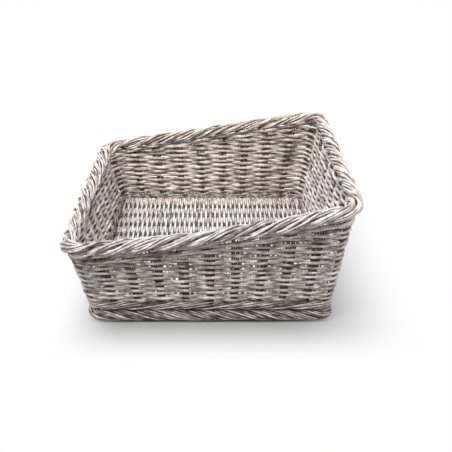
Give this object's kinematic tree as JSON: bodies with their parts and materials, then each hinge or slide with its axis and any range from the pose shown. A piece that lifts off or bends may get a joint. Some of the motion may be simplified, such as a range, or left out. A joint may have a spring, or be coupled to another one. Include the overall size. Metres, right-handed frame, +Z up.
{
  "type": "bakery display basket",
  "caption": "Shallow near-square woven basket with outward-leaning walls, a rolled border that slopes from a low end to a high end, and a flat woven base on a raised foot.",
  "frame": {"origin": "on the table, under the middle of the rim border", "axes": "+X to the high end, -Y to the front, +Z up"},
  "size_m": [0.4, 0.38, 0.19],
  "materials": {
    "stake_bundle": "washed natural rods, matte",
    "wall_strand": "washed natural strands, matte",
    "wale_strand": "washed natural strands, matte",
    "base_strand": "washed natural strands, matte",
    "border_bundle": "washed natural rods, satin"
  },
  "bodies": {
    "root": {"cross_stake_1": "stake_bundle", "cross_stake_2": "stake_bundle", "cross_stake_3": "stake_bundle", "cross_stake_4": "stake_bundle", "cross_stake_5": "stake_bundle", "cross_stake_6": "stake_bundle", "cross_stake_7": "stake_bundle", "cross_stake_8": "stake_bundle", "cross_stake_9": "stake_bundle", "front_stake_1": "stake_bundle", "front_stake_2": "stake_bundle", "front_stake_3": "stake_bundle", "front_stake_4": "stake_bundle", "front_stake_5": "stake_bundle", "front_stake_6": "stake_bundle", "front_stake_7": "stake_bundle", "front_stake_8": "stake_bundle", "front_stake_9": "stake_bundle", "back_stake_1": "stake_bundle", "back_stake_2": "stake_bundle", "back_stake_3": "stake_bundle", "back_stake_4": "stake_bundle", "back_stake_5": "stake_bundle", "back_stake_6": "stake_bundle", "back_stake_7": "stake_bundle", "back_stake_8": "stake_bundle", "corner_stake_front_low": "stake_bundle", "corner_stake_front_high": "stake_bundle", "corner_stake_back_high": "stake_bundle", "corner_stake_back_low": "stake_bundle", "wall_weaver_1": "wall_strand", "wall_weaver_2": "wall_strand", "wall_weaver_3": "wall_strand", "wall_weaver_4": "wall_strand", "packing_weaver": "wall_strand", "lower_wale": "wale_strand", "upper_wale": "wale_strand", "base_weaver_1": "base_strand", "base_weaver_2": "base_strand", "base_weaver_3": "base_strand", "base_weaver_4": "base_strand", "rim_border": "border_bundle", "foot_border": "border_bundle"}
  },
  "joints": []
}
